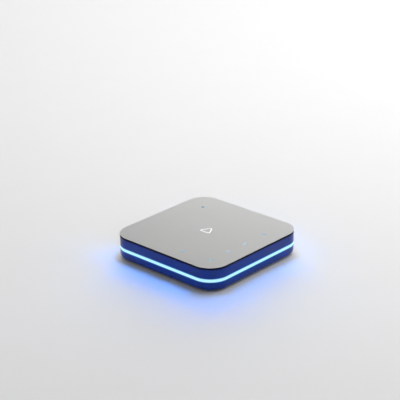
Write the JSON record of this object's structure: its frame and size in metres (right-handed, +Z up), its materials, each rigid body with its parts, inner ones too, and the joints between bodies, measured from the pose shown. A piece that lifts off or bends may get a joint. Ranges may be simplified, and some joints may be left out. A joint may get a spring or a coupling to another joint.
{
  "type": "streaming media player",
  "caption": "Square, round-cornered desktop media player with an aluminium top plate, a lit band round three sides and a panel of sockets at the rear.",
  "frame": {"origin": "middle of the footprint, on the surface that the feet rest on", "axes": "+Z up through the top plate, +Y towards the rear panel with the sockets, -Y towards the front, +X to the right as seen from the front"},
  "size_m": [0.11, 0.11, 0.0207],
  "materials": {
    "aluminium_plate": "bead-blasted and clear anodised, with a dark edge",
    "white_enamel": "white, satin",
    "adhesive_film": "thin double-sided film",
    "navy_plastic": "glossy navy polycarbonate",
    "light_guide": "frosted, diffusing polycarbonate, lit blue from behind",
    "indicator_lens": "clear blue polycarbonate",
    "black_plastic": "fine spark texture",
    "rubber": "matt silicone rubber",
    "screw_steel": "nickel plated",
    "tin_plate": "bright tin plate",
    "gold_contact": "gold plated",
    "circuit_board": "green solder mask on glass fibre laminate",
    "chip_black": "moulded epoxy",
    "thermal_pad": "soft silicone pad",
    "heat_sink": "black anodised",
    "nylon": "natural nylon",
    "white_flex": "white polyimide film",
    "cable": "black coaxial lead"
  },
  "bodies": {
    "housing": {"top_plate": "aluminium_plate", "play_mark": "white_enamel", "plate_adhesive": "adhesive_film", "upper_shell": "navy_plastic", "light_guide": "light_guide", "led_strip": "white_flex", "lower_shell": "navy_plastic", "rear_panel": "black_plastic", "foot_front_left": "rubber", "foot_front_right": "rubber", "foot_rear_left": "rubber", "foot_rear_right": "rubber", "case_screw_front_left": "screw_steel", "case_screw_front_right": "screw_steel", "case_screw_rear_left": "screw_steel", "case_screw_rear_right": "screw_steel", "power_inlet_body": "black_plastic", "power_inlet_pin": "screw_steel", "hdmi_shell": "tin_plate", "hdmi_tongue": "black_plastic", "ethernet_body": "tin_plate", "ethernet_contacts": "gold_contact", "usb_shell": "tin_plate", "usb_tongue": "black_plastic", "power_switch": "chip_black", "main_board": "circuit_board", "board_screw_left": "screw_steel", "board_screw_right": "screw_steel", "processor": "chip_black", "thermal_pad": "thermal_pad", "memory_chip_1": "chip_black", "memory_chip_2": "chip_black", "storage_chip": "chip_black", "power_chip": "chip_black", "ethernet_transformer": "chip_black", "capacitor": "tin_plate", "wifi_board": "circuit_board", "wifi_shield": "tin_plate", "ir_receiver": "chip_black", "status_led": "white_enamel", "reset_switch": "chip_black", "heat_sink": "heat_sink", "heat_sink_pin_front": "nylon", "heat_sink_pin_rear": "nylon", "heat_sink_spring_front": "screw_steel", "heat_sink_spring_rear": "screw_steel", "antenna_left": "white_flex", "antenna_right": "white_flex", "antenna_lead_left": "cable", "antenna_lead_right": "cable", "indicator_lens_1": "indicator_lens", "indicator_lens_2": "indicator_lens", "indicator_lens_3": "indicator_lens", "indicator_lens_4": "indicator_lens", "indicator_lens_5": "indicator_lens", "status_light_pipe": "indicator_lens", "indicator_board": "circuit_board", "indicator_ribbon": "white_flex"},
    "power_button": {"power_button": "black_plastic"},
    "reset_plunger": {"reset_plunger": "nylon"}
  },
  "joints": [
    {"name": "power_button_press", "type": "slide", "parent": "housing", "child": "power_button", "axis": [0, -1, 0], "range_m": [0, 0.0005], "stiffness_N_per_m": 800, "springref_m": -0.001},
    {"name": "reset_press", "type": "slide", "parent": "housing", "child": "reset_plunger", "axis": [0, 0, 1], "range_m": [0, 0.00025], "stiffness_N_per_m": 1000, "springref_m": -0.001}
  ]
}
